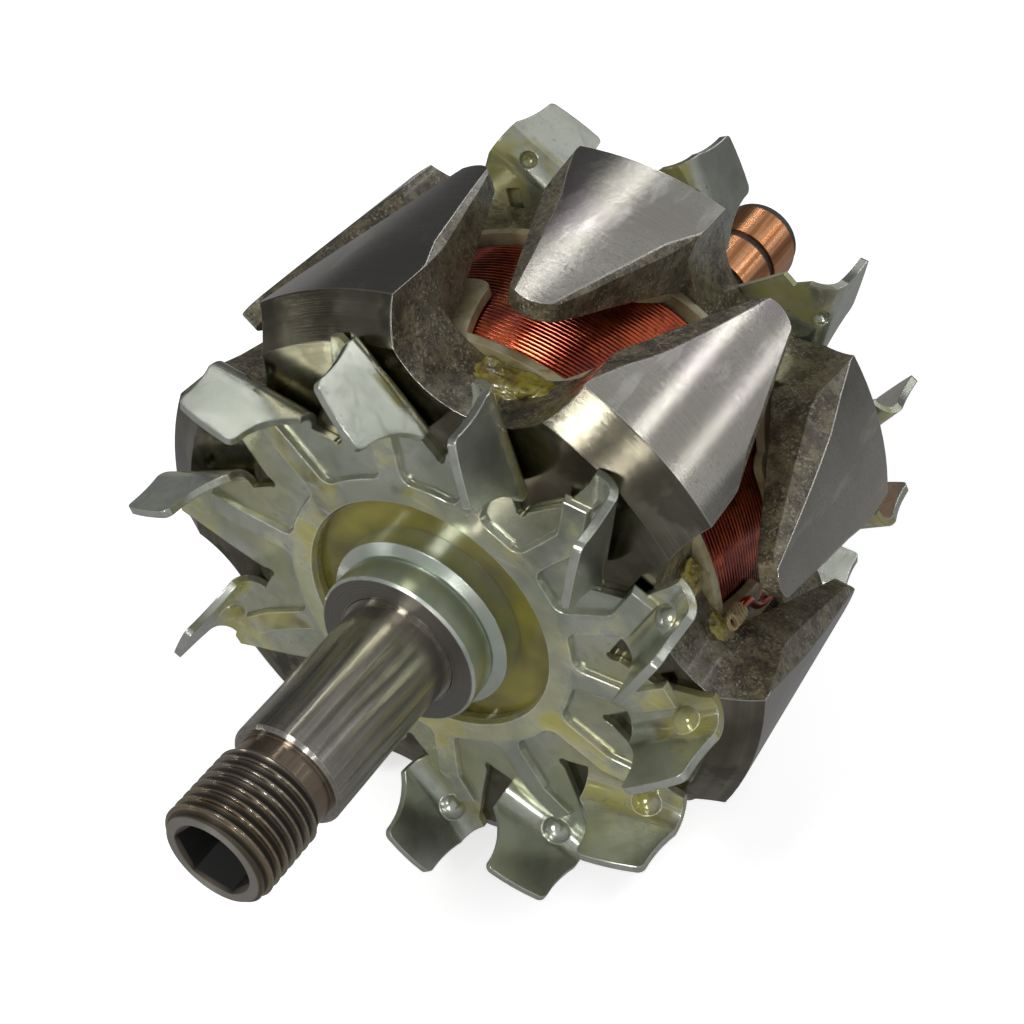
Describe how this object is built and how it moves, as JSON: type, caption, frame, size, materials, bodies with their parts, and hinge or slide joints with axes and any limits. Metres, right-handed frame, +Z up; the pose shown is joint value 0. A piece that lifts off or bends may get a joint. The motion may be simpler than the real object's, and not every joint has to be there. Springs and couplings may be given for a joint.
{
  "type": "alternator rotor",
  "caption": "Claw-pole rotor with a threaded shaft, a bladed sheet fan at each end, a field winding on a moulded bobbin, and slip rings.",
  "frame": {"origin": "on the spin axis at the front face of the spacer collar, where the front bearing's inner race stops", "axes": "+Y along the spin axis from the threaded end to the slip rings, +Z up, +X to the right seen from the threaded end"},
  "size_m": [0.0998, 0.1683, 0.0997],
  "materials": {
    "shaft_steel": "ground",
    "collar_zinc": "zinc plated",
    "pole_steel": "turned over forged, varnished in the valleys",
    "bobbin_plastic": "satin",
    "winding_copper": "varnished",
    "fan_zinc": "zinc plated sheet",
    "ring_copper": "turned",
    "moulding": "matt",
    "clip_brass": "satin",
    "sleeve": "varnished weave"
  },
  "bodies": {
    "root": {"shaft": "shaft_steel", "front_collar": "collar_zinc", "front_claw_pole": "pole_steel", "rear_claw_pole": "pole_steel", "pole_core": "pole_steel", "bobbin": "bobbin_plastic", "field_winding": "winding_copper", "front_fan": "fan_zinc", "rear_fan": "fan_zinc", "slip_ring_body": "moulding", "slip_ring_front": "ring_copper", "slip_ring_rear": "ring_copper", "ring_bar_a": "ring_copper", "ring_bar_b": "ring_copper", "terminal_hub": "moulding", "terminal_clip_a": "clip_brass", "terminal_clip_b": "clip_brass", "lead_outer": "winding_copper", "lead_inner": "winding_copper", "groove_sleeve_a": "sleeve", "groove_sleeve_b": "sleeve", "lead_tie": "sleeve"}
  },
  "joints": []
}
